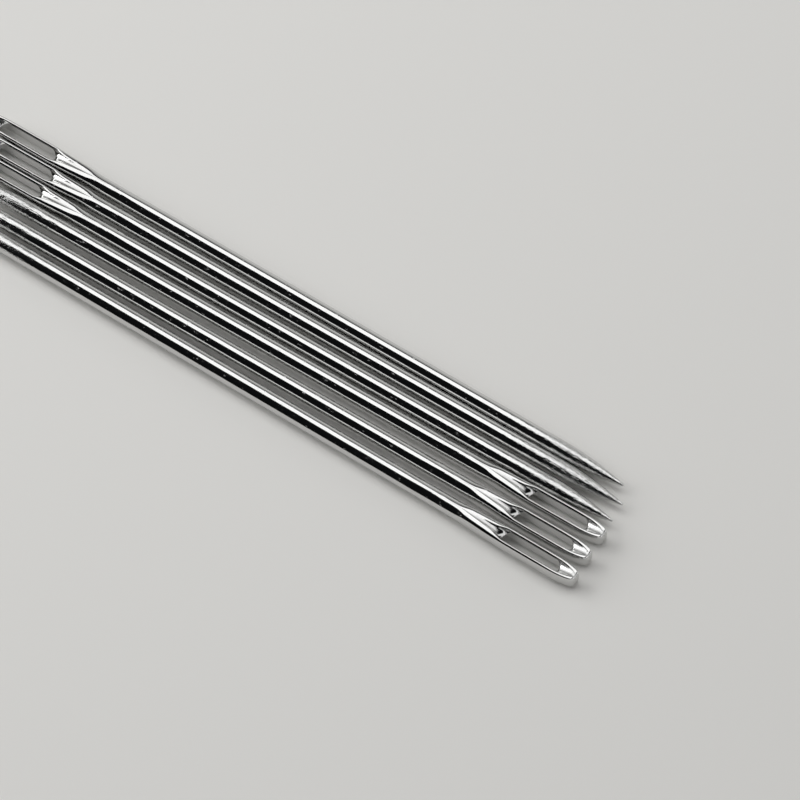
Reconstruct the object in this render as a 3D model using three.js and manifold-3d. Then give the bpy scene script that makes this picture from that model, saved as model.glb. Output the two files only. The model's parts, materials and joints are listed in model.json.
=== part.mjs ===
// Straight upholstery needles laid side by side, half with the eye at one end and half at the other.
// Each needle is one piece of hard steel wire: a ground point, a round shaft and a swaged, punched eye.
// Millimetres, +Z up. +X runs along the needles and +Y across them, and they rest on Z = 0.

import * as THREE from "three";
import { mergeVertices } from "three/addons/utils/BufferGeometryUtils.js";
import Module from "manifold-3d";

// The wire and its ground point
const needleLength = 125;
const shaftDiameter = 3;
const pointLength = 12.5;
const tipRadius = 0.2;

// The eye: a slot between two rails, closed by the head
const slotLength = 10.8;
const slotWidth = 1.9;
const railWidth = 0.8;
const eyeThickness = 2.4;
const headLength = 3.4;

// The head narrows to a blunt end in plan over the first length and is round from the side over the second
const headPlanRounding = 9;
const headSideRounding = 0.7;

// The gutters pressed into both faces, which let the thread lie below the rails and fade out over the head
const gutterLength = 8;
const webThickness = 1.0;
const gutterSideClearance = 0.3;
const gutterDepthAtHead = 0.05;

// The wire swells to the eye's section along the gutter and for this length past the slot's first end
const swellPastSlot = 1.5;

// A needle is one wire. Its solid is split square across just before the gutter, so that the shaft is
// convex and the eye is short enough for its collision pieces to leave the slot open
const splitBeforeGutter = 0.5;
const splitGap = 0.02;

// How the needles lie, from the far side to the near side: the end that the eye is at, how far the
// needle is pushed towards +X, and the clear gap to the needle before it at the left and right eyes
const lay = [
  { name: "needle_1", eyeAtLeft: true, push: -2.9, gapLeft: 0, gapRight: 0 },
  { name: "needle_2", eyeAtLeft: true, push: -1, gapLeft: 0.13, gapRight: 0.1 },
  { name: "needle_3", eyeAtLeft: true, push: -0.65, gapLeft: 0.12, gapRight: 0.48 },
  { name: "needle_4", eyeAtLeft: false, push: 0.2, gapLeft: 0.2, gapRight: 0.13 },
  { name: "needle_5", eyeAtLeft: false, push: 0.45, gapLeft: 0.85, gapRight: 1 },
  { name: "needle_6", eyeAtLeft: false, push: 0.9, gapLeft: 0.55, gapRight: 0.9 },
];

// Fineness of the facets
const wireSides = 24;
const gutterSides = 16;
const pointSteps = 7;
const swellSteps = 8;
const headSteps = 8;
const gutterSteps = 9;
const slotEndFacets = 9;
const lastHeadRing = 0.92; // as a share of the head's quarter turn
const gutterRunIn = 0.2; // how far the gutter's tool starts before the gutter, as a share of its length
const weldDistance = 1e-4;

// Places along the needle, from the tip of the point
const shaftRadius = shaftDiameter / 2;
const eyeWidth = slotWidth + 2 * railWidth;
const slotEnd = needleLength - headLength;
const slotStart = slotEnd - slotLength;
const gutterStart = slotStart - gutterLength;
const swellEnd = slotStart + swellPastSlot;
const split = gutterStart - splitBeforeGutter;
const eyeMiddle = (slotStart + slotEnd) / 2;

// Shapes, as the power of a superellipse: 2 is an ellipse, and larger numbers square it off
const roundSection = 2;
const eyeSection = 4;
const headPlan = 3.3;
const headSide = 2;

const wasm = await Module();
wasm.setup();

function swell(along) {
  return THREE.MathUtils.smoothstep(along, gutterStart, swellEnd);
}

// A quarter superellipse that falls from 1 to 0 over the last stretch of the head
function closing(along, stretch, power) {
  const into = Math.max(0, 1 - (needleLength - along) / stretch);
  return (1 - into ** power) ** (1 / power);
}

function halfWidth(along) {
  const swollen = THREE.MathUtils.lerp(shaftRadius, eyeWidth / 2, swell(along));
  return swollen * closing(along, headPlanRounding, headPlan);
}

function halfHeight(along) {
  const swollen = THREE.MathUtils.lerp(shaftRadius, eyeThickness / 2, swell(along));
  return swollen * closing(along, headSideRounding, headSide);
}

// The point is ground to an ogive: an arc from the blunted tip that meets the shaft without a shoulder
function pointRadius(along) {
  const run = pointLength - tipRadius;
  const rise = shaftRadius - tipRadius;
  const arc = (rise ** 2 + run ** 2) / (2 * rise);
  const before = Math.max(0, pointLength - along);
  return shaftRadius - arc + Math.sqrt(arc ** 2 - before ** 2);
}

// One closed ring of points round the wire. Its four sides are flats at exactly the stated half sizes
function wireRing(along, across, up, corners) {
  const power = 2 / corners;
  const flat = Math.cos(Math.PI / wireSides) ** power;
  const rounded = (value) => (Math.sign(value) * Math.abs(value) ** power) / flat;
  return Array.from({ length: wireSides }, (_, i) => {
    const turn = ((i + 0.5) * 2 * Math.PI) / wireSides;
    return new THREE.Vector3(along, across * rounded(Math.cos(turn)), up * rounded(Math.sin(turn)));
  });
}

// One ring of the round tool that presses a gutter, with an edge along its lowest line
function gutterRing(along, floor, radius) {
  return Array.from({ length: gutterSides }, (_, i) => {
    const turn = (i * 2 * Math.PI) / gutterSides - Math.PI / 2;
    return new THREE.Vector3(along, radius * Math.cos(turn), floor + radius + radius * Math.sin(turn));
  });
}

// A closed skin over a row of rings, drawn to one point at each end
function loft(firstPoint, rings, lastPoint) {
  const points = [firstPoint, ...rings.flat(), lastPoint];
  const count = rings[0].length;
  const at = (ring, i) => 1 + ring * count + (i % count);
  const last = rings.length - 1;
  const faces = [];
  for (let i = 0; i < count; i++) {
    faces.push(0, at(0, i + 1), at(0, i));
    for (let ring = 0; ring < last; ring++) {
      faces.push(at(ring, i), at(ring, i + 1), at(ring + 1, i + 1));
      faces.push(at(ring, i), at(ring + 1, i + 1), at(ring + 1, i));
    }
    faces.push(at(last, i), at(last, i + 1), points.length - 1);
  }
  return new THREE.BufferGeometry().setFromPoints(points).setIndex(faces);
}

function steps(count, first, last) {
  return Array.from({ length: count + 1 }, (_, i) => THREE.MathUtils.lerp(first, last, i / count));
}

// The ground point and the round shaft, cut off square at the split
function shaft() {
  const rings = [...steps(pointSteps, tipRadius, pointLength), split].map((along) =>
    wireRing(along, pointRadius(along), pointRadius(along), roundSection),
  );
  return loft(new THREE.Vector3(0, 0, 0), rings, new THREE.Vector3(split, 0, 0));
}

// The rest of the wire before the eye is punched: the swell, the flat rails and the round head
function eyeBlank() {
  const ring = (along) => {
    const section = THREE.MathUtils.lerp(roundSection, eyeSection, swell(along));
    return wireRing(along, halfWidth(along), halfHeight(along), section);
  };
  const start = split + splitGap;
  const swelling = [start, ...steps(swellSteps, gutterStart, swellEnd)].map(ring);
  const head = steps(headSteps, 0, lastHeadRing).map((share) => {
    const quarterTurn = (share * Math.PI) / 2;
    return ring(needleLength - headPlanRounding * (1 - Math.sin(quarterTurn)));
  });
  return loft(
    new THREE.Vector3(start, 0, 0),
    [...swelling, ...head],
    new THREE.Vector3(needleLength, 0, 0),
  );
}

// The slot is punched straight through both faces. An odd count of facets sets one square to the pull
// of the thread at each end
function slotPunch() {
  const radius = slotWidth / 2;
  const end = (middle, from) =>
    new THREE.EllipseCurve(middle, 0, radius, radius, from, from + Math.PI).getPoints(slotEndFacets);
  const headEnd = end(slotEnd - radius, -Math.PI / 2);
  const shaftEnd = end(slotStart + radius, Math.PI / 2);
  const outline = new THREE.Shape([...headEnd, ...shaftEnd]);
  const depth = 2 * eyeThickness;
  return new THREE.ExtrudeGeometry(outline, { depth, bevelEnabled: false }).translate(0, 0, -depth / 2);
}

// The gutter leaves the shaft's surface without a step, dives to the web at the slot and climbs to the head
function gutterTool() {
  const radius = slotWidth / 2 + gutterSideClearance;
  const depth = (eyeThickness - webThickness) / 2;
  const spear = steps(gutterSteps, -gutterRunIn, 1).map((share) => {
    const along = gutterStart + share * gutterLength;
    return gutterRing(along, halfHeight(along) - depth * share, radius);
  });
  const headEdge = gutterRing(slotEnd, eyeThickness / 2 - depth, radius);
  const headEnd = gutterRing(needleLength, eyeThickness / 2 - gutterDepthAtHead, radius);
  const rings = [...spear, headEdge, headEnd];
  const centre = (ring) => ring[0].clone().lerp(ring[gutterSides / 2], 0.5);
  return loft(centre(rings[0]), rings, centre(headEnd));
}

// A closed solid from a geometry, for cutting
function solid(geometry) {
  geometry.deleteAttribute("normal");
  geometry.deleteAttribute("uv");
  const merged = mergeVertices(geometry, weldDistance);
  return new wasm.Manifold(
    new wasm.Mesh({
      numProp: 3,
      vertProperties: merged.attributes.position.array,
      triVerts: Uint32Array.from(merged.index.array),
    }),
  );
}

// The swaged end with its slot punched and its gutters pressed
function eye() {
  const upperGutter = gutterTool();
  const lowerGutter = upperGutter.clone().rotateX(Math.PI);
  const cut = solid(eyeBlank())
    .subtract(solid(slotPunch()))
    .subtract(solid(upperGutter))
    .subtract(solid(lowerGutter))
    .getMesh();
  return new THREE.BufferGeometry()
    .setAttribute("position", new THREE.BufferAttribute(cut.vertProperties, 3))
    .setIndex(new THREE.BufferAttribute(cut.triVerts, 1));
}

const polishedSteel = new THREE.MeshStandardMaterial({
  color: "#d6d4d0",
  metalness: 1,
  roughness: 0.12,
  flatShading: true,
});

// A whole needle, centred on its length and resting on Z = 0, with the eye towards +X
function needle(name) {
  const pieces = { [`${name}_shaft`]: shaft(), [`${name}_eye`]: eye() };
  const whole = new THREE.Group();
  for (const [pieceName, geometry] of Object.entries(pieces)) {
    const piece = new THREE.Mesh(geometry, polishedSteel.clone());
    piece.name = pieceName;
    piece.position.set(-needleLength / 2, 0, shaftRadius);
    whole.add(piece);
  }
  return whole;
}

// The needles lie in a slight fan: each one is placed across at the middle of the left and of the right eyes
const fan = new THREE.Group();
const eyeOffset = eyeMiddle - needleLength / 2;
let acrossLeft = 0;
let acrossRight = 0;
let before = null;
const half = (eyeHere) => (eyeHere ? eyeWidth : shaftDiameter) / 2;
for (const place of lay) {
  if (before) {
    acrossLeft -= half(before.eyeAtLeft) + place.gapLeft + half(place.eyeAtLeft);
    acrossRight -= half(!before.eyeAtLeft) + place.gapRight + half(!place.eyeAtLeft);
  }
  const laid = needle(place.name);
  const heading = Math.atan2(acrossRight - acrossLeft, 2 * eyeOffset);
  laid.position.set(place.push, (acrossLeft + acrossRight) / 2, 0);
  laid.rotation.z = place.eyeAtLeft ? heading + Math.PI : heading;
  fan.add(laid);
  before = place;
}

// The origin is under the middle of the whole set
const middle = new THREE.Box3().setFromObject(fan, true).getCenter(new THREE.Vector3());
fan.position.set(-middle.x, -middle.y, 0);
const needles = new THREE.Group();
needles.add(fan);

export default needles;
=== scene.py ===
# Six straight upholstery needles of one pattern, lying side by side in a slight fan on a pale table.
# Three have their points at the right and three their eyes.

import json
import math

import bmesh
import bpy
from mathutils import Matrix, Vector


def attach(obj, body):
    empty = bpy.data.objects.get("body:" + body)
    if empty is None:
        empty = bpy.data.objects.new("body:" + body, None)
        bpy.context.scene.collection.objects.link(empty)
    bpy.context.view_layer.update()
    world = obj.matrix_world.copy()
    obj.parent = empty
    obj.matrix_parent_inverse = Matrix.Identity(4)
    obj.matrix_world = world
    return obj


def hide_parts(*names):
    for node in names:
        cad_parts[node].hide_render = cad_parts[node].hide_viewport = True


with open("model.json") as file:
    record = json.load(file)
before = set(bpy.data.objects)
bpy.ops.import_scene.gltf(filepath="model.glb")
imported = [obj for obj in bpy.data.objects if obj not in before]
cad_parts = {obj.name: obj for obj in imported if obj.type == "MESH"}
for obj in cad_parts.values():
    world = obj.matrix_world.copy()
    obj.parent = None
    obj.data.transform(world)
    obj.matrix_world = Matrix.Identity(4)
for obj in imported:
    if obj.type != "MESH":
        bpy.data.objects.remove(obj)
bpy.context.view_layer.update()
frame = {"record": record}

# The wire of a needle
# Hard carbon steel wire, drawn round and cut to length. Its one end is ground to a long, slightly bellied
# point with a blunted tip. All sizes are in millimetres, counted from the tip of the point.
NEEDLE_LENGTH = 125.0
SHAFT_RADIUS = 1.5
POINT_LENGTH = 12.5
TIP_RADIUS = 0.2
TIP_BALL = 0.215  # radius of the rounding that blunts the tip
TIP_BALL_LENGTH = 0.17


def smooth(low, high, value):
    share = min(1.0, max(0.0, (value - low) / (high - low)))
    return share * share * (3 - 2 * share)


def mix(first, second, share):
    return first + (second - first) * share


def point_radius(along):
    """Radius of the wire: a blunt tip, an arc that meets the shaft without a shoulder, and the shaft."""
    if along < TIP_BALL_LENGTH:
        return math.sqrt(TIP_BALL**2 - (TIP_BALL - along) ** 2)
    rise = SHAFT_RADIUS - TIP_RADIUS
    run = POINT_LENGTH - TIP_RADIUS
    arc = (rise**2 + run**2) / (2 * rise)
    return SHAFT_RADIUS - arc + math.sqrt(arc**2 - max(0.0, POINT_LENGTH - along) ** 2)


# The eye of a needle
# The other end of the same wire, swaged wider and flatter, with a long slot punched through it. A gutter is
# pressed into both faces, deepest at the slot, so that the thread lies below the two rounded rails.
SLOT_LENGTH = 10.8
SLOT_RADIUS = 0.95
EYE_HALF_WIDTH = 1.75
EYE_HALF_HEIGHT = 1.2
HEAD_LENGTH = 3.4
HEAD_PLAN_ROUNDING = 9.0
HEAD_SIDE_ROUNDING = 0.7
HEAD_PLAN = 3.3  # powers of the head's roundings: 2 is an ellipse, and more is blunter
HEAD_SIDE = 2
GUTTER_LENGTH = 8.0
GUTTER_DEPTH = 0.7
GUTTER_HALF_WIDTH = 0.74
GUTTER_SPREAD = 0.75  # power at which the gutter widens: 1 is a straight wedge
GUTTER_SLOPE = 0.15  # depth of the shallow V at its sharp end, by half its width
GUTTER_DIVE = 5  # power at which the floor plunges towards the slot
WALLS_BEGIN = 0.5  # shares of the gutter's length between which the V becomes a floor with walls
WALLS_DONE = 0.95
NARROWEST_GUTTER = 0.03
RAIL_TOP = 0.17  # flat of a rail's top along the gutter, before it rounds over
HEAD_FADE = 0.93  # share of the gutter's depth that is gone this far before the head's end
HEAD_FADE_LEFT = 0.6
SWELL_PAST_SLOT = 1.5
SLOT_END = NEEDLE_LENGTH - HEAD_LENGTH
SLOT_START = SLOT_END - SLOT_LENGTH
GUTTER_START = SLOT_START - GUTTER_LENGTH
ROWS_GATHER = 10.0  # length of shaft over which the rows draw together towards the gutter's sharp end
ROUND_SHOULDER = 2  # powers of a rail's outer shoulder: a circle at first, squarer along the gutter
RAIL_SHOULDER = 2.8
RAIL_START = GUTTER_START - 2.0  # where the wire begins to flatten, and where its rims have risen to rails
RAIL_END = GUTTER_START + 2.0
SWAGE_START = GUTTER_START + 6.2  # where the rails part to the slot's width, and where they have done so
SWAGE_END = SLOT_START + 0.6
BROAD_START = SLOT_END - 4.0  # where the rails broaden to the head, and where they have done so
BROAD_END = SLOT_END + 0.5
EDGE_REACH = 0.8  # how far from the slot's first end the web is dressed round for the thread, and how much
EDGE_CURVE = 1.3
HEAD_EDGE_REACH = 0.35  # the same at the slot's other end, in the head
HEAD_EDGE_CURVE = 2.6
EDGE_FACING = 0.6  # how squarely the web faces the slot's end where it is dressed in full
EDGE_PULL = 5  # power at which the rows are drawn onto the slot's outline as they bend round its end

# Rows of the skin, from the top line of the wire down to its side: the gutter's floor and wall, the rail's
# crest, and its outer flank. The pairs are a rail's section, across and up: round beside the slot, and with
# a broad flat top on the head.
WALL_ROW = 4
RIM_ROW = 6
CREST_ROW = 7
RAIL = (
    (0.0, 0.5),
    (0.27, 0.505),
    (0.53, 0.53),
    (0.77, 0.64),
    (0.94, 0.926),
    (1.03, 1.07),
    (1.15, 1.18),
    (1.32, 1.225),
    (1.49, 1.14),
    (1.63, 0.94),
    (1.715, 0.66),
    (1.75, 0.34),
    (1.75, 0.0),
)
HEAD_RAIL = (
    (0.0, 0.5),
    (0.24, 0.51),
    (0.48, 0.565),
    (0.72, 0.74),
    (0.94, 0.98),
    (1.02, 1.1),
    (1.12, 1.195),
    (1.32, 1.225),
    (1.54, 1.205),
    (1.68, 1.03),
    (1.74, 0.72),
    (1.75, 0.36),
    (1.75, 0.0),
)
ROWS = len(RAIL) - 1
FLOOR_SHARES = (0.0, 0.3, 0.56, 0.77, 0.92, 1.0)  # the gutter's section before the slot, across and up
SHALLOW_RISES = (0.0, 0.2, 0.46, 0.71, 0.9, 1.0)
WALLED_RISES = (0.0, 0.03, 0.1, 0.25, 0.6, 1.0)
HEAD_GUTTER_TAPER = 0.32  # share of the gutter's width that is left at the head's end
HEAD_GUTTER_SHARE = 0.6  # most that the gutter takes of the head's own width


def closing(along, stretch, power):
    """A quarter turn that falls from 1 to 0 over the last stretch of the head."""
    into = max(0.0, 1 - (NEEDLE_LENGTH - along) / stretch)
    return max(0.0, 1 - into**power) ** (1 / power)


def swell(along):
    return smooth(GUTTER_START, SLOT_START + SWELL_PAST_SLOT, along)


def half_width(along):
    swollen = mix(point_radius(along), EYE_HALF_WIDTH, swell(along))
    return swollen * closing(along, HEAD_PLAN_ROUNDING, HEAD_PLAN)


def half_height(along):
    swollen = mix(point_radius(along), EYE_HALF_HEIGHT, swell(along))
    return swollen * closing(along, HEAD_SIDE_ROUNDING, HEAD_SIDE)


def gutter_share(along):
    return min(1.0, max(0.0, (along - GUTTER_START) / GUTTER_LENGTH))


def raised(along):
    """How far the gutter's rims have risen from the round of the wire to rails."""
    return smooth(RAIL_START, RAIL_END, along)


def gutter_rim(along):
    return max(NARROWEST_GUTTER, GUTTER_HALF_WIDTH * gutter_share(along) ** GUTTER_SPREAD)


def rail_crest(along):
    return gutter_rim(along) + max(NARROWEST_GUTTER, RAIL_TOP * raised(along))


def top_offset(along, row):
    """Distance from the top line of a row on the gutter or on a rail's top."""
    if row < RIM_ROW:
        return gutter_rim(along) * FLOOR_SHARES[row]
    return mix(gutter_rim(along), rail_crest(along), (row - RIM_ROW + 1) / (CREST_ROW - RIM_ROW + 1))


def top_height(along, across):
    """Height of a rim or a rail's top."""
    in_round = half_height(along) * math.sqrt(1 - (across / half_width(along)) ** 2)
    return mix(in_round, half_height(along), raised(along))


def outer_share(row):
    return (row - CREST_ROW) / (ROWS - CREST_ROW)


def round_turns(along):
    """Turn of each row round the whole wire, from the top line: even at first, then drawn to the gutter."""
    gathered = smooth(RAIL_START - ROWS_GATHER, RAIL_START, along)
    crest_turn = math.asin(rail_crest(RAIL_START) / SHAFT_RADIUS)
    turns = []
    for row in range(ROWS + 1):
        if row < CREST_ROW:
            drawn = math.asin(top_offset(RAIL_START, row) / SHAFT_RADIUS)
        else:
            drawn = mix(crest_turn, math.pi / 2, outer_share(row))
        turns.append(mix(math.pi / 2 * row / ROWS, drawn, gathered))
    return turns


def fullness(before, after):
    """Makes up for the drawing-in of the smoothing between neighbours at these turns."""
    return 6 / (4 + math.cos(before) + math.cos(after))


def flank_point(along, row):
    """A point outside the gutter: on the round of the wire at first, then on a rail's shoulder."""
    width = half_width(along)
    height = half_height(along)
    crest = rail_crest(along)
    crest_turn = math.asin(crest / width)
    step = (math.pi / 2 - crest_turn) / (ROWS - CREST_ROW)
    full = fullness(0, step) if row == CREST_ROW else fullness(step, step)
    turn = mix(crest_turn, math.pi / 2, outer_share(row))
    round_across = width * full * math.sin(turn)
    round_up = height * full * math.cos(turn)
    power = 2 / mix(ROUND_SHOULDER, RAIL_SHOULDER, raised(along))
    shoulder = math.pi / 2 * outer_share(row)
    across = crest + (width - crest) * full * math.sin(shoulder) ** power
    up = height * full * max(0.0, math.cos(shoulder)) ** power
    return mix(round_across, across, raised(along)), mix(round_up, up, raised(along))


def wire_point(along, row):
    """A point of the skin where the wire is still whole, with the gutter pressed in."""
    if along <= RAIL_START:
        turns = round_turns(along)
        before = turns[row] - turns[row - 1] if row else turns[1]
        after = turns[row + 1] - turns[row] if row < ROWS else before
        radius = point_radius(along) * fullness(before, after)
        return radius * math.sin(turns[row]), radius * math.cos(turns[row])
    if row >= CREST_ROW:
        return flank_point(along, row)
    across = top_offset(along, row)
    if row >= RIM_ROW:
        return across, top_height(along, across)
    dive = (GUTTER_DEPTH - GUTTER_SLOPE * GUTTER_HALF_WIDTH) * gutter_share(along) ** GUTTER_DIVE
    floor = half_height(along) - GUTTER_SLOPE * gutter_rim(along) - dive
    walled = smooth(WALLS_BEGIN, WALLS_DONE, gutter_share(along))
    rise = mix(SHALLOW_RISES[row], WALLED_RISES[row], walled)
    return across, mix(floor, top_height(along, gutter_rim(along)), rise)


def rail_section(along, row):
    """A point of a rail's section, which broadens from the slot's middle to the head."""
    broad = smooth(BROAD_START, BROAD_END, along)
    return [mix(beside, head, broad) for beside, head in zip(RAIL[row], HEAD_RAIL[row])]


def floor_rise(along, across):
    """How far the gutter's floor beside its middle line stands above it."""
    for row in range(WALL_ROW):
        inner, low = rail_section(along, row)
        outer, high = rail_section(along, row + 1)
        if across <= outer:
            break
    return mix(low, high, (across - inner) / (outer - inner)) - RAIL[0][1]


def head_point(along, row):
    """A point of the skin on the rails and the head, where the gutter narrows and fades out to the end."""
    across, up = rail_section(along, row)
    wide = half_width(along) / EYE_HALF_WIDTH
    high = half_height(along) / EYE_HALF_HEIGHT
    wall = RAIL[WALL_ROW][0]
    crest, crest_up = RAIL[CREST_ROW]
    over_head = max(0.0, (along - SLOT_END) / HEAD_LENGTH)
    gutter = min(wall * mix(1, HEAD_GUTTER_TAPER, over_head), half_width(along) * HEAD_GUTTER_SHARE)
    if row <= WALL_ROW:
        across *= gutter / wall
    elif row < CREST_ROW:
        across = mix(gutter, crest * wide, (across - wall) / (crest - wall))
    else:
        across *= wide
    if row < CREST_ROW:
        faded = min(1.0, over_head * HEAD_LENGTH / (HEAD_LENGTH - HEAD_FADE_LEFT))
        up = mix(up, crest_up, HEAD_FADE * faded)
    return across, up * high


def edge_drop(along, across):
    """How far the web falls away towards the slot's ends, where it is dressed round for the thread."""
    if along < (SLOT_START + SLOT_END) / 2:
        beyond = SLOT_START + SLOT_RADIUS - along
        reach, curve = EDGE_REACH, EDGE_CURVE
    else:
        beyond = along - (SLOT_END - SLOT_RADIUS)
        reach, curve = HEAD_EDGE_REACH, HEAD_EDGE_CURVE
    out = max(1e-6, math.hypot(max(0.0, beyond), across))
    facing = smooth(0, EDGE_FACING, beyond / out)
    return curve / 2 * max(0.0, reach - (out - SLOT_RADIUS)) ** 2 * facing


def skin_ring(start, bend):
    """One ring of the skin. Its rows bend round the slot's end: bend is 1 or -1 on the slot's own edge."""
    ring = []
    for row in range(ROWS + 1):
        turn = math.pi / 2 * min(1.0, row / WALL_ROW)
        along = start + bend * SLOT_RADIUS * (1 - math.cos(turn))
        swaged = smooth(SWAGE_START, SWAGE_END, along)
        across, up = head_point(along, row)
        if swaged < 1:
            whole_across, whole_up = wire_point(along, row)
            across = mix(whole_across, across, swaged)
            up = mix(whole_up, up, swaged)
        if row <= WALL_ROW:
            on_edge = abs(bend) ** EDGE_PULL
            edge_across = SLOT_RADIUS * math.sin(turn)
            up += (floor_rise(along, edge_across) - floor_rise(along, across)) * on_edge
            across = mix(across, edge_across, on_edge)
            up -= edge_drop(along, across)
        ring.append(Vector((along, across, up)))
    return ring


# Rings along the needle: where each one crosses the top line, and how far it bends round the slot's end
TIP_RINGS = (0.0005, 0.014, 0.05, 0.105, 0.17, 0.3, 0.6, 1.2)
POINT_RINGS = (2, 3, 4.2, 5.6, 7.2, 9, 10.8, 12.5, 15)
SHAFT_RINGS = (25, 36, 47, 58, 69, 80, 88, 93, 96.5, 99, 100.4, 101.1, 101.8, 102.4)
GUTTER_RINGS = (
    (0.004, 0),
    (0.025, 0),
    (0.06, 0),
    (0.12, 0),
    (0.2, 0),
    (0.29, 0),
    (0.38, 0),
    (0.47, 0),
    (0.56, 0.1),
    (0.65, 0.25),
    (0.73, 0.45),
    (0.8, 0.7),
    (0.86, 0.92),
)
FIRST_EDGE_RINGS = (0.8, 0.62, 0.46, 0.32, 0.2, 0.1, 0.03, 0)
SLOT_RINGS = (112.5, 113.8, 115.4, 117, 118.6, 119.9)
HEAD_EDGE_RINGS = (0, 0.02, 0.09, 0.22, 0.45)
HEAD_RINGS = ((0.85, -0.85), (1.3, -0.55), (1.75, -0.28), (2.25, -0.1))
END_RINGS = (0.75, 0.45, 0.22, 0.09, 0.025, 0.0005)
RINGS = [(along, 0) for along in TIP_RINGS + POINT_RINGS + SHAFT_RINGS]
RINGS += [(GUTTER_START + GUTTER_LENGTH * share, bend) for share, bend in GUTTER_RINGS]
RINGS += [(SLOT_START - away, 1) for away in FIRST_EDGE_RINGS]
RINGS += [(along, 0) for along in SLOT_RINGS]
RINGS += [(SLOT_END + away, -1) for away in HEAD_EDGE_RINGS]
RINGS += [(SLOT_END + past, bend) for past, bend in HEAD_RINGS]
RINGS += [(NEEDLE_LENGTH - left, 0) for left in END_RINGS]

# The skin is modelled as a quarter of the needle, and the wear is kept on it: how far the gutter's floor was
# pressed satin, which ends short of the slot and begins again past it, and how far the point was ground.
FLOOR_ROW = 2
SATIN_BEFORE_SLOT = (0.7, 1.5)
SATIN_PAST_SLOT = (0.05, 0.35)
GROUND_FULL = POINT_LENGTH - 3.0
GROUND_GONE = POINT_LENGTH + 8.0
bpy.ops.object.select_all(action="DESELECT")
bpy.ops.mesh.primitive_circle_add(vertices=4 * ROWS, radius=SHAFT_RADIUS, rotation=(0, math.pi / 2, 0))
needle = bpy.context.object
bpy.ops.object.transform_apply(location=False, rotation=True, scale=False)
bpy.ops.object.mode_set(mode="EDIT")
for side in ((0, 1, 0), (0, 0, 1)):
    bpy.ops.mesh.select_all(action="SELECT")
    bpy.ops.mesh.bisect(plane_co=(0, 0, 0), plane_no=side, clear_inner=True)
bpy.ops.mesh.select_all(action="SELECT")
bmesh.from_edit_mesh(needle.data).verts.layers.float.new("pressed")
bmesh.from_edit_mesh(needle.data).verts.layers.float.new("ground")
for number, (start, bend) in enumerate(RINGS):
    if number:
        bpy.ops.mesh.extrude_edges_move()
    skin = bmesh.from_edit_mesh(needle.data)
    pressed = skin.verts.layers.float["pressed"]
    ground = skin.verts.layers.float["ground"]
    ring = sorted((v for v in skin.verts if v.select), key=lambda v: (v.co.y, -v.co.z))
    satin = smooth(*SATIN_BEFORE_SLOT, SLOT_START - start) + smooth(*SATIN_PAST_SLOT, start - SLOT_END)
    last_row = FLOOR_ROW if start < SLOT_START else WALL_ROW
    for row, (vertex, place) in enumerate(zip(ring, skin_ring(start, bend))):
        vertex.co = place
        vertex[pressed] = satin if start > GUTTER_START and row <= last_row else 0
        vertex[ground] = 1 - smooth(GROUND_FULL, GROUND_GONE, start)
    bmesh.update_edit_mesh(needle.data)


def outside_slot(place):
    """Distance from a place in plan to the slot's outline, which is negative inside the slot."""
    middle = (SLOT_START + SLOT_END) / 2
    past = max(0.0, abs(place.x - middle) - (SLOT_LENGTH / 2 - SLOT_RADIUS))
    return math.hypot(past, place.y) - SLOT_RADIUS


# The slot is cut out along the rows that bend round it, and its wall is drawn down to the needle's middle
WASTE = -0.02  # a face is cut out where its middle is this far inside the outline
RIM = 0.06  # an edge is on the slot's rim where it is no farther from the outline
SEAM = 0.02  # an edge this close to the needle's middle planes belongs to the seam of its quarters
RIM_STEP = 0.14  # first step of the wall, which keeps the rim's rounding tight
MERGED = 0.002  # points of a quarter that are this close become one
skin = bmesh.from_edit_mesh(needle.data)
for face in skin.faces:
    face.select_set(outside_slot(face.calc_center_median()) < WASTE)
bpy.ops.mesh.delete(type="FACE")
skin = bmesh.from_edit_mesh(needle.data)
bpy.ops.mesh.select_all(action="DESELECT")
bpy.ops.mesh.select_mode(type="EDGE")
for edge in skin.edges:
    middle = (edge.verts[0].co + edge.verts[1].co) / 2
    on_rim = abs(outside_slot(middle)) < RIM and min(middle.y, middle.z) > SEAM
    edge.select_set(edge.is_boundary and on_rim)
bpy.ops.mesh.extrude_edges_move()
for vertex in bmesh.from_edit_mesh(needle.data).verts:
    if vertex.select:
        vertex.co.z = max(vertex.co.z / 2, vertex.co.z - RIM_STEP)
bpy.ops.mesh.extrude_edges_move()
bpy.ops.transform.resize(value=(1, 1, 0), center_override=(0, 0, 0))
bpy.ops.mesh.select_mode(type="VERT")
bpy.ops.mesh.select_all(action="SELECT")
bpy.ops.mesh.remove_doubles(threshold=MERGED)
bpy.ops.object.mode_set(mode="OBJECT")

# The quarter is mirrored into a whole needle, which is closed at both ends and then rounded
QUARTERS_MERGED = 0.003  # points on the seams that are this close become one
ROUNDING_LEVELS = 2
halves = needle.modifiers.new("halves", "MIRROR")
halves.use_axis = (False, True, True)
halves.merge_threshold = QUARTERS_MERGED
bpy.ops.object.modifier_apply(modifier=halves.name)
bpy.ops.object.mode_set(mode="EDIT")
bpy.ops.mesh.select_all(action="SELECT")
bpy.ops.mesh.fill_holes(sides=0)
bpy.ops.mesh.select_all(action="SELECT")
bpy.ops.mesh.normals_make_consistent(inside=False)
bpy.ops.object.mode_set(mode="OBJECT")
rounding = needle.modifiers.new("rounding", "SUBSURF")
rounding.levels = ROUNDING_LEVELS
rounding.render_levels = ROUNDING_LEVELS
bpy.ops.object.modifier_apply(modifier=rounding.name)
bpy.ops.object.shade_smooth()

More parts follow.
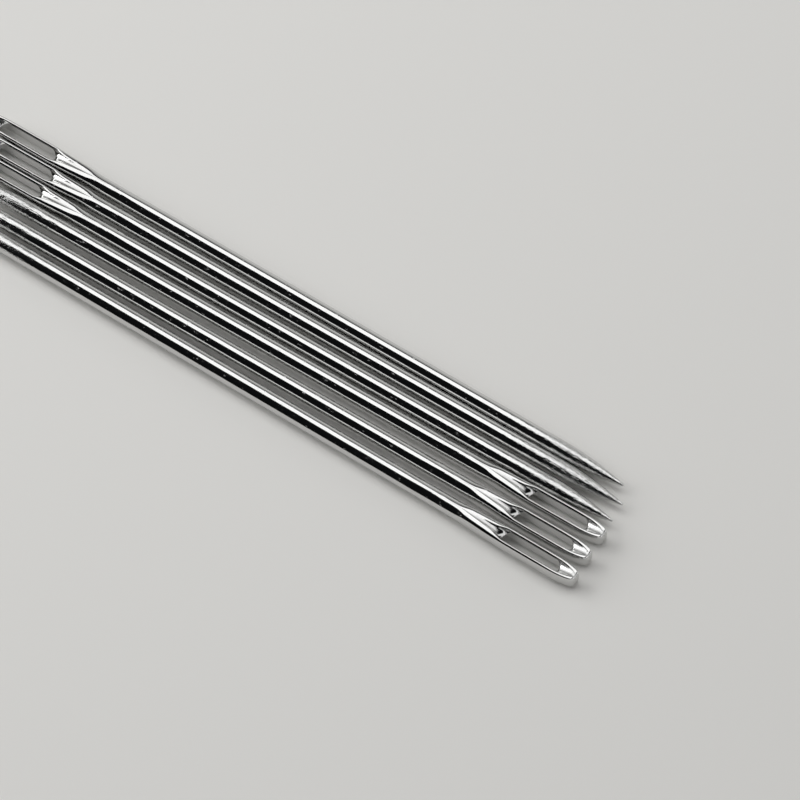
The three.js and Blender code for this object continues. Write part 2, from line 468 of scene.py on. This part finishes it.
# The plate on every needle
# Bright nickel over hard steel, tumbled to a mirror on the shaft. The drawn wire keeps faint lengthwise lines
# and a few pits. The ground point is satin with coarse streaks, and the pressed floor of the gutter is satin.
NICKEL = "#D2D2D1"
DULL_NICKEL = "#B2B2B0"
MARKS = {  # length and width of each kind of mark in millimetres, and the detail and harshness of its pattern
    "streaks": (5.0, 0.2, 3.0, 0.6),
    "grinding": (1.4, 0.35, 3.0, 0.65),
    "pits": (1.0, 0.5, 2.0, 0.5),
    "waves": (3.0, 1.1, 1.0, 0.5),
}
PITTED = (0.62, 0.72)  # strength of the pattern at which a pit begins, and at which it is full
PIT_ROUGHNESS = 0.3
STREAKED = 0.35  # strength of the pattern at which a streak begins
ROUGHNESS = {  # strength at which a streak is full, and the roughness between the streaks and on them
    "drawn": (0.7, 0.05, 0.1),
    "ground": (0.65, 0.08, 0.2),
    "pressed": (0.65, 0.2, 0.38),
}
DULLED = (0.4, 0.65, 0.4)  # strengths at which a streak is dull at first and in full, and how dull it is then
WAVE_STRENGTH = 0.5
STREAK_STRENGTHS = (0.1, 0.9)  # on the bright wire, and where it was ground or pressed
WAVE_DEPTH = 0.00001  # depths of the marks, in metres
STREAK_DEPTH = 0.00002
GRIND_DEPTH = 0.00013  # deeper than the real grinding, so that it shows from the camera


def linear(colour):
    """An sRGB hex colour as linear red, green, blue and alpha."""
    parts = [int(colour[i : i + 2], 16) / 255 for i in (1, 3, 5)]
    return [p / 12.92 if p <= 0.04045 else ((p + 0.055) / 1.055) ** 2.4 for p in parts] + [1.0]


def add(tree, kind, settings=None, inputs=None):
    """Adds a node with its settings, and its inputs as values or as links from other nodes' sockets."""
    node = tree.nodes.new(kind)
    for name, value in (settings or {}).items():
        setattr(node, name, value)
    for name, value in (inputs or {}).items():
        if isinstance(value, bpy.types.NodeSocket):
            tree.links.new(value, node.inputs[name])
        else:
            node.inputs[name].default_value = value
    return node


nickel_plate = bpy.data.materials.new("polished_nickel_plate")
nickel_plate.use_nodes = True
tree = nickel_plate.node_tree
tree.nodes.clear()
grain = add(tree, "ShaderNodeAttribute", {"attribute_name": "grain"}).outputs["Vector"]
pressed_floor = add(tree, "ShaderNodeAttribute", {"attribute_name": "pressed"}).outputs["Fac"]
ground_end = add(tree, "ShaderNodeAttribute", {"attribute_name": "ground"}).outputs["Fac"]
marks = {}
for mark, (mark_length, mark_width, detail, harshness) in MARKS.items():
    stretched = add(
        tree,
        "ShaderNodeMapping",
        inputs={"Vector": grain, "Scale": (1 / mark_length, 1 / mark_width, 1 / mark_width)},
    )
    pattern = add(
        tree,
        "ShaderNodeTexNoise",
        inputs={
            "Vector": stretched.outputs["Vector"],
            "Scale": 1.0,
            "Detail": detail,
            "Roughness": harshness,
        },
    )
    marks[mark] = pattern.outputs["Fac"]
pits = add(
    tree,
    "ShaderNodeMapRange",
    inputs={"Value": marks["pits"], "From Min": PITTED[0], "From Max": PITTED[1]},
)
roughness = {}
for finish, (full, between, on_streak) in ROUGHNESS.items():
    spread = add(
        tree,
        "ShaderNodeMapRange",
        inputs={
            "Value": marks["streaks"],
            "From Min": STREAKED,
            "From Max": full,
            "To Min": between,
            "To Max": on_streak,
        },
    )
    roughness[finish] = spread.outputs["Result"]
rough = roughness["drawn"]
for share, rougher in (
    (pits.outputs["Result"], PIT_ROUGHNESS),
    (ground_end, roughness["ground"]),
    (pressed_floor, roughness["pressed"]),
):
    blended = add(
        tree, "ShaderNodeMix", {"data_type": "FLOAT"}, {"Factor": share, "A": rough, "B": rougher}
    )
    rough = blended.outputs["Result"]
worked = add(tree, "ShaderNodeMath", {"operation": "MAXIMUM"}, {0: pressed_floor, 1: ground_end})
dull = add(
    tree,
    "ShaderNodeMapRange",
    inputs={
        "Value": marks["streaks"],
        "From Min": DULLED[0],
        "From Max": DULLED[1],
        "To Max": DULLED[2],
    },
)
dulled = add(
    tree,
    "ShaderNodeMath",
    {"operation": "MULTIPLY"},
    {0: worked.outputs["Value"], 1: dull.outputs["Result"]},
)
colour = add(
    tree,
    "ShaderNodeMix",
    {"data_type": "RGBA"},
    {"Factor": dulled.outputs["Value"], "A": linear(NICKEL), "B": linear(DULL_NICKEL)},
)
streak_strength = add(
    tree,
    "ShaderNodeMapRange",
    inputs={
        "Value": worked.outputs["Value"],
        "To Min": STREAK_STRENGTHS[0],
        "To Max": STREAK_STRENGTHS[1],
    },
)
wavy = add(
    tree,
    "ShaderNodeBump",
    inputs={"Strength": WAVE_STRENGTH, "Distance": WAVE_DEPTH, "Height": marks["waves"]},
)
streaked = add(
    tree,
    "ShaderNodeBump",
    inputs={
        "Strength": streak_strength.outputs["Result"],
        "Distance": STREAK_DEPTH,
        "Height": marks["streaks"],
        "Normal": wavy.outputs["Normal"],
    },
)
roughed = add(
    tree,
    "ShaderNodeBump",
    inputs={
        "Strength": ground_end,
        "Distance": GRIND_DEPTH,
        "Height": marks["grinding"],
        "Normal": streaked.outputs["Normal"],
    },
)
shader = add(
    tree,
    "ShaderNodeBsdfPrincipled",
    inputs={
        "Base Color": colour.outputs["Result"],
        "Metallic": 1.0,
        "Roughness": rough,
        "Normal": roughed.outputs["Normal"],
    },
)
add(tree, "ShaderNodeOutputMaterial", inputs={"Surface": shader.outputs["BSDF"]})

# The six needles, laid out
# They lie loose, eye up, touching nothing but the table. Each one is put where the frame's own needle is:
# the seat of its thread gives the place and the direction of its eye.
METRES = 0.001
SEAT_FACET = math.radians(10)
SEAT_ALONG = SLOT_END - SLOT_RADIUS * (1 - math.cos(SEAT_FACET)) - NEEDLE_LENGTH / 2
seats = {mount["name"]: mount for mount in frame["record"]["mounts"]}
GROUND_ROUGHLY = (0.75, 1.0, 0.7, 0.8, 0.6, 0.9)  # how coarsely each point was ground
GRAIN_STEP = Vector((0, 11.0, 7.0))  # shift of the marks from one needle to the next, so that none are alike
for number, roughly in enumerate(GROUND_ROUGHLY, 1):
    name = f"needle_{number}"
    seat = seats[f"thread_seat_{number}"]
    eyeward = -Vector(seat["axis"])
    middle = Vector(seat["pos_m"]) - eyeward * SEAT_ALONG * METRES
    middle.z = SHAFT_RADIUS * METRES
    mesh = needle.data.copy()
    mesh.name = name
    grain_places = mesh.attributes.new("grain", "FLOAT_VECTOR", "POINT")
    for vertex, value in zip(mesh.vertices, grain_places.data):
        value.vector = vertex.co + GRAIN_STEP * number
    for value in mesh.attributes["ground"].data:
        value.value *= roughly
    mesh.transform(Matrix.Translation((-NEEDLE_LENGTH / 2, 0, 0)))
    mesh.transform(Matrix.Scale(METRES, 4))
    mesh.transform(Matrix.Rotation(math.atan2(eyeward.y, eyeward.x), 4, "Z"))
    mesh.transform(Matrix.Translation(middle))
    mesh.materials.append(nickel_plate)
    piece = bpy.data.objects.new(name, mesh)
    bpy.context.scene.collection.objects.link(piece)
    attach(piece, name)
    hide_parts(f"{name}_shaft", f"{name}_eye")
bpy.data.objects.remove(needle)

# The table
# A plain pale top with a matt painted finish, wide enough to run out of every view. It has no gloss of its
# own, so that the needles stand out by their reflections.
FLOOR_SIZE = 6.0
PALE_PAINT = "#E6E5E2"
PAINT_ROUGHNESS = 0.9
bpy.ops.object.select_all(action="DESELECT")
bpy.ops.mesh.primitive_plane_add(size=FLOOR_SIZE)
floor = bpy.context.object
floor.name = "floor"
table_top = bpy.data.materials.new("pale_matt_top")
table_top.use_nodes = True
table_shader = table_top.node_tree.nodes["Principled BSDF"]
table_shader.inputs["Base Color"].default_value = linear(PALE_PAINT)
table_shader.inputs["Roughness"].default_value = PAINT_ROUGHNESS
floor.data.materials.append(table_top)

# The lamps and the room
# A long soft box above and a little behind, a second one low at the left that fills the shadows, and a dim
# room with pale walls at the back and at both sides.
bpy.context.scene.view_settings.view_transform = "Standard"
lamps = (  # name, place, what it points at, its two sides and its radiance
    ("soft_box", (-0.8, 0.263, 0.808), (-0.8, 0, 0), 2.2, 0.68, 1.5),
    ("fill", (-1.1, -0.3, 0.6), (0, 0, 0), 1.0, 1.0, 3.0),
)
for name, place, target, long_side, short_side, radiance in lamps:
    lamp = bpy.data.lights.new(name, "AREA")
    lamp.shape = "RECTANGLE"
    lamp.size = long_side
    lamp.size_y = short_side
    lamp.energy = radiance * math.pi * long_side * short_side
    holder = bpy.data.objects.new(name, lamp)
    bpy.context.scene.collection.objects.link(holder)
    holder.location = place
    holder.rotation_euler = (Vector(place) - Vector(target)).to_track_quat("Z", "Y").to_euler()

# Shades of the room by direction: the back wall by how far back it is, the side walls from left to right, and
# both side walls from the floor up
BACK_WALL = ((0.69, "#101112"), (0.76, "#9A9A99"), (0.84, "#A4A4A2"), (0.92, "#D6D6D4"))
SIDE_WALLS = (
    (0.025, "#6E6E6C"),
    (0.04, "#FFFFFF"),
    (0.09, "#FFFFFF"),
    (0.12, "#000000"),
    (0.64, "#000000"),
    (0.69, "#FFFFFF"),
    (0.94, "#FFFFFF"),
    (0.97, "#C4C4C2"),
)
SIDE_HEIGHTS = (
    (0.0, "#404040"),
    (0.12, "#B0B0B0"),
    (0.22, "#FFFFFF"),
    (0.56, "#FFFFFF"),
    (0.66, "#000000"),
)
room = bpy.data.worlds.new("room")
bpy.context.scene.world = room
room.use_nodes = True
tree = room.node_tree
tree.nodes.clear()
direction = add(tree, "ShaderNodeTexCoord")
parts = add(tree, "ShaderNodeSeparateXYZ", inputs={"Vector": direction.outputs["Generated"]})
sideways = add(tree, "ShaderNodeMapRange", inputs={"Value": parts.outputs["X"], "From Min": -1.0})
walls = []
for reach, stops in (
    (parts.outputs["Y"], BACK_WALL),
    (sideways.outputs["Result"], SIDE_WALLS),
    (parts.outputs["Z"], SIDE_HEIGHTS),
):
    wall = add(tree, "ShaderNodeValToRGB", inputs={"Fac": reach})
    while len(wall.color_ramp.elements) < len(stops):
        wall.color_ramp.elements.new(1.0)
    for element, (position, shade) in zip(wall.color_ramp.elements, stops):
        element.position = position
        element.color = linear(shade)
    walls.append(wall.outputs["Color"])
sides = add(
    tree,
    "ShaderNodeMix",
    {"data_type": "RGBA", "blend_type": "MULTIPLY"},
    {"Factor": 1.0, "A": walls[1], "B": walls[2]},
)
both = add(
    tree,
    "ShaderNodeMix",
    {"data_type": "RGBA", "blend_type": "LIGHTEN"},
    {"Factor": 1.0, "A": walls[0], "B": sides.outputs["Result"]},
)
background = add(tree, "ShaderNodeBackground", inputs={"Color": both.outputs["Result"], "Strength": 1.0})
add(tree, "ShaderNodeOutputWorld", inputs={"Surface": background.outputs["Background"]})

# The camera
# A long lens, looking across the needles from above and from the right, so that the ends on that side show
# and the others run out of the picture. The pixel is where the frame's origin lies in the picture.
AZIMUTH = math.radians(34.457)
ELEVATION = math.radians(57)
PIXELS_PER_METRE = 6250
IMAGE_SIZE = 800
CAMERA_AWAY = 1.5
ORIGIN_PIXEL = (275.75, 350.85)
right = Vector((math.cos(AZIMUTH), math.sin(AZIMUTH), 0))
toward = Vector(
    (math.sin(AZIMUTH) * math.cos(ELEVATION), -math.cos(AZIMUTH) * math.cos(ELEVATION), math.sin(ELEVATION))
)
up = toward.cross(right)
aim = right * (IMAGE_SIZE / 2 - ORIGIN_PIXEL[0]) / PIXELS_PER_METRE
aim -= up * (IMAGE_SIZE / 2 - ORIGIN_PIXEL[1]) / PIXELS_PER_METRE
camera_data = bpy.data.cameras.new("camera")
camera_data.sensor_width = 36
camera_data.lens = camera_data.sensor_width * CAMERA_AWAY * PIXELS_PER_METRE / IMAGE_SIZE
camera = bpy.data.objects.new("camera", camera_data)
bpy.context.scene.collection.objects.link(camera)
turned = Matrix((right, up, toward)).transposed().to_4x4()
camera.matrix_world = Matrix.Translation(aim + toward * CAMERA_AWAY) @ turned
bpy.context.scene.camera = camera
